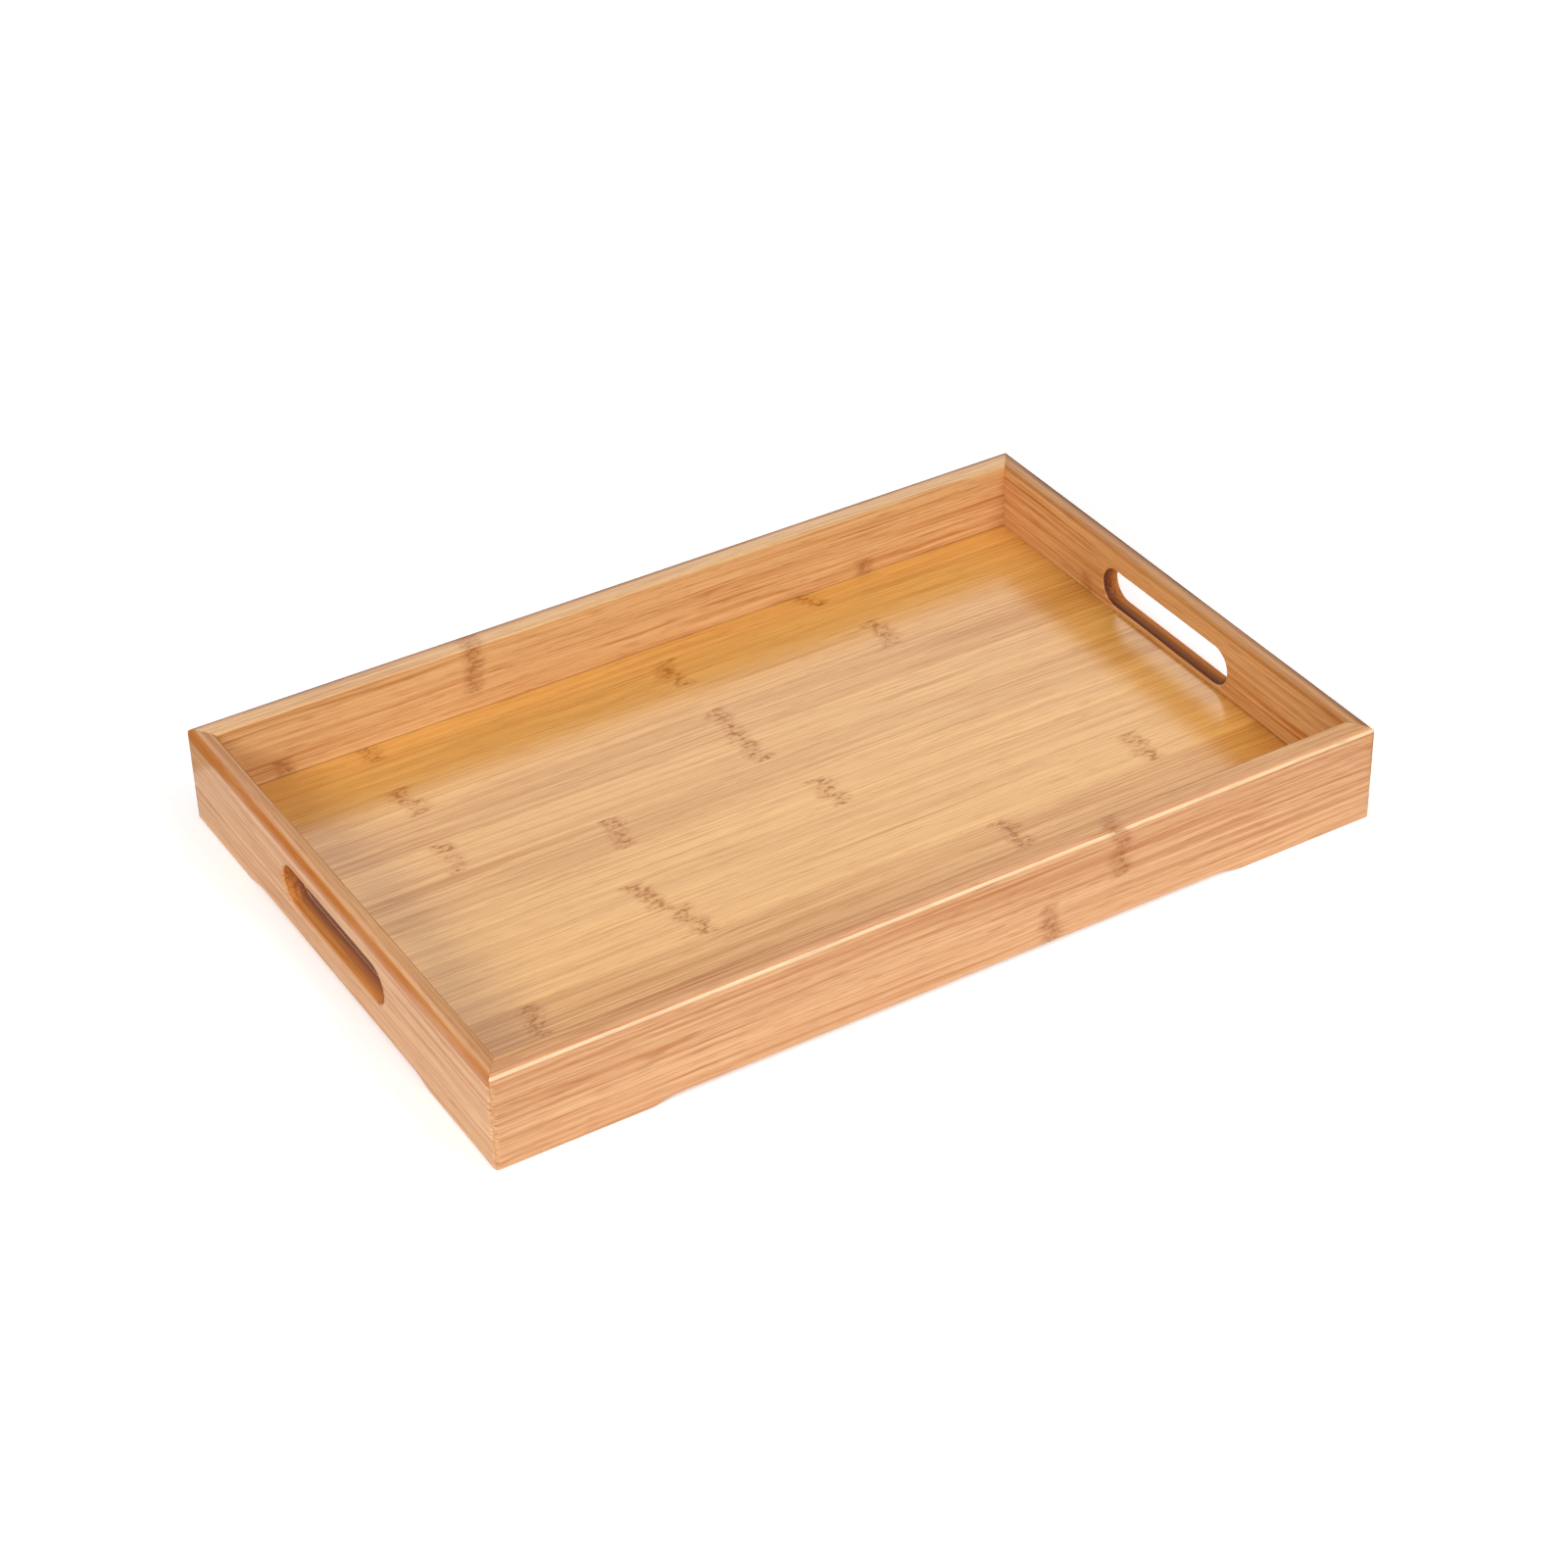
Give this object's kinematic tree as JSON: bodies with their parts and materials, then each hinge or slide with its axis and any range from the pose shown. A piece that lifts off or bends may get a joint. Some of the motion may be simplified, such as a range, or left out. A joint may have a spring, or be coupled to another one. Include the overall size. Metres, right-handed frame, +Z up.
{
  "type": "serving tray",
  "caption": "Low rectangular serving tray of edge-glued bamboo strips, with rounded mitred rails, a strip base let into a groove, and a rounded hand slot through each end rail.",
  "frame": {"origin": "middle of the footprint, on the surface that the tray stands on", "axes": "+X along the tray's length, towards the right-hand end rail; +Y from the front rail to the back rail; +Z up"},
  "size_m": [0.426, 0.28, 0.046],
  "materials": {
    "bamboo_rail": "clear satin varnish",
    "bamboo_base": "clear satin varnish"
  },
  "bodies": {
    "root": {"front_rail_lower": "bamboo_rail", "front_rail_upper": "bamboo_rail", "right_rail_lower": "bamboo_rail", "right_rail_upper": "bamboo_rail", "back_rail_lower": "bamboo_rail", "back_rail_upper": "bamboo_rail", "left_rail_lower": "bamboo_rail", "left_rail_upper": "bamboo_rail", "base_strip_01": "bamboo_base", "base_strip_02": "bamboo_base", "base_strip_03": "bamboo_base", "base_strip_04": "bamboo_base", "base_strip_05": "bamboo_base", "base_strip_06": "bamboo_base", "base_strip_07": "bamboo_base", "base_strip_08": "bamboo_base", "base_strip_09": "bamboo_base", "base_strip_10": "bamboo_base", "base_strip_11": "bamboo_base", "base_strip_12": "bamboo_base"}
  },
  "joints": []
}
